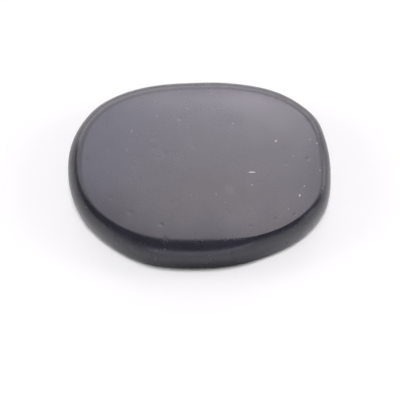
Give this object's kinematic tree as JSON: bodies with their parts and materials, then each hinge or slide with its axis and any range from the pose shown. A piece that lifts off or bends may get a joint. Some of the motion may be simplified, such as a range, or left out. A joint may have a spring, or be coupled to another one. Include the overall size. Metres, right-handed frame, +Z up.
{
  "type": "basalt massage stone",
  "caption": "Smooth oval pebble of dark basalt with two nearly flat faces and a rounded edge, heated and laid on or stroked over the body.",
  "frame": {"origin": "under the middle of the stone, on the worn flat that it rests on", "axes": "+X along the stone, +Y across it, +Z up through its thickness"},
  "size_m": [0.08, 0.061, 0.018],
  "materials": {
    "basalt": "satin"
  },
  "bodies": {
    "root": {"stone": "basalt"}
  },
  "joints": []
}
